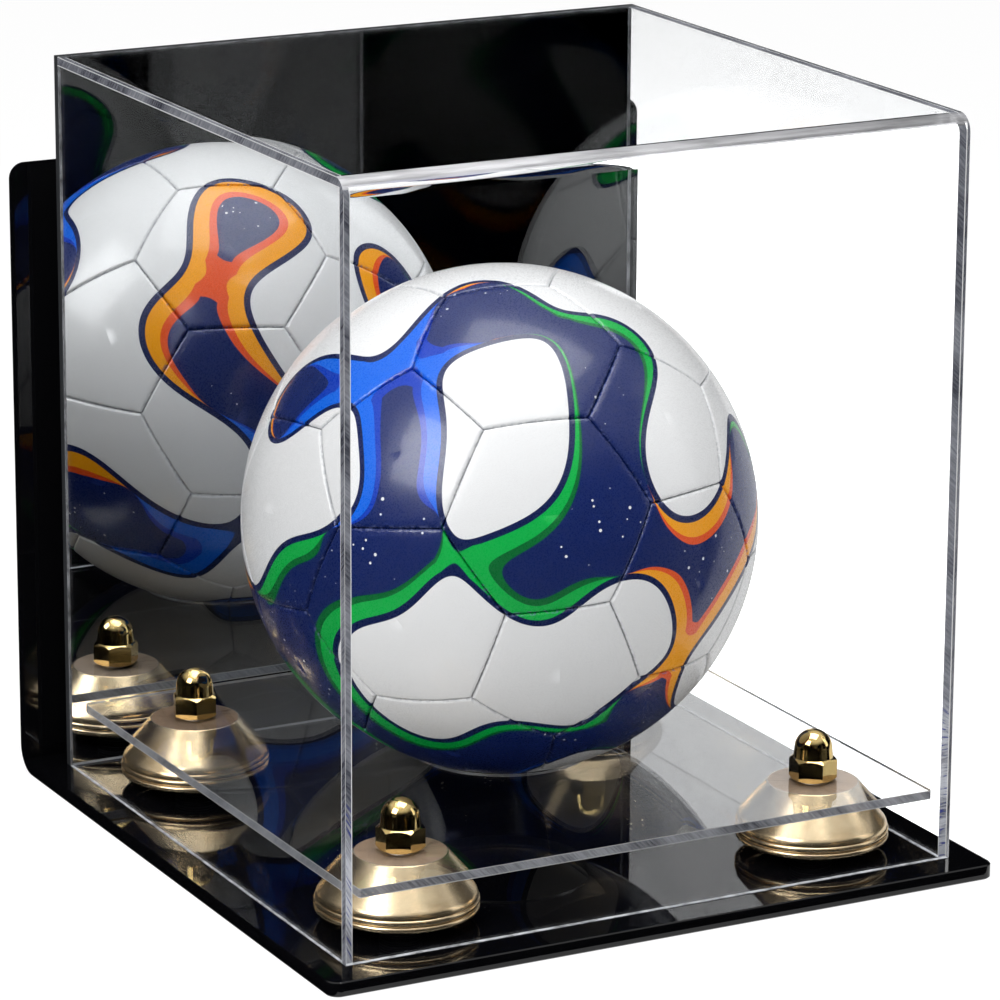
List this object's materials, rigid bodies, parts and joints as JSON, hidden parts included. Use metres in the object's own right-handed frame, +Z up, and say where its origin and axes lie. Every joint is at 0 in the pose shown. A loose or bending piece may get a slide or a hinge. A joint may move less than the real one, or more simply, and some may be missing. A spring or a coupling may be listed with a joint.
{
  "type": "ball display case",
  "caption": "Clear lift-off cover with a mirror back over a ball on a raised platform with gold risers, on a bent black wall mount base.",
  "frame": {"origin": "on the base's underside, at the middle of its footprint", "axes": "+Z up, +X to the right seen from the front, +Y towards the wall, so the front faces -Y"},
  "size_m": [0.315, 0.323, 0.3304],
  "materials": {
    "black_acrylic": "gloss",
    "clear_acrylic": "polished",
    "mirror_acrylic": "polished",
    "satin_gold": "satin",
    "polished_gold": "polished",
    "zinc_steel": "satin",
    "spacer_aluminium": "satin",
    "navy_panel": "gloss",
    "white_panel": "gloss",
    "bladder_rubber": "matte",
    "valve_rubber": "matte"
  },
  "bodies": {
    "base": {"wall_mount_base": "black_acrylic", "ball_platform": "clear_acrylic", "riser_cup_front_left": "satin_gold", "riser_cup_front_right": "satin_gold", "riser_cup_back_left": "satin_gold", "riser_cup_back_right": "satin_gold", "spacer_tube_front_left": "spacer_aluminium", "spacer_tube_front_right": "spacer_aluminium", "spacer_tube_back_left": "spacer_aluminium", "spacer_tube_back_right": "spacer_aluminium", "dome_nuts": "polished_gold", "machine_screws": "zinc_steel"},
    "cover": {"front_top_sheet": "clear_acrylic", "left_side_panel": "clear_acrylic", "right_side_panel": "clear_acrylic", "mirror_back_panel": "mirror_acrylic"},
    "ball": {"ball_hexagon_panels": "white_panel", "ball_pentagon_panels": "navy_panel", "ball_bladder": "bladder_rubber", "ball_valve": "valve_rubber"}
  },
  "joints": [
    {"name": "cover_lift", "type": "slide", "parent": "base", "child": "cover", "axis": [0, 0, 1], "range_m": [0, 0.34]},
    {"name": "ball_lift", "type": "slide", "parent": "base", "child": "ball", "axis": [0, 0, 1], "range_m": [0, 0.07]}
  ]
}
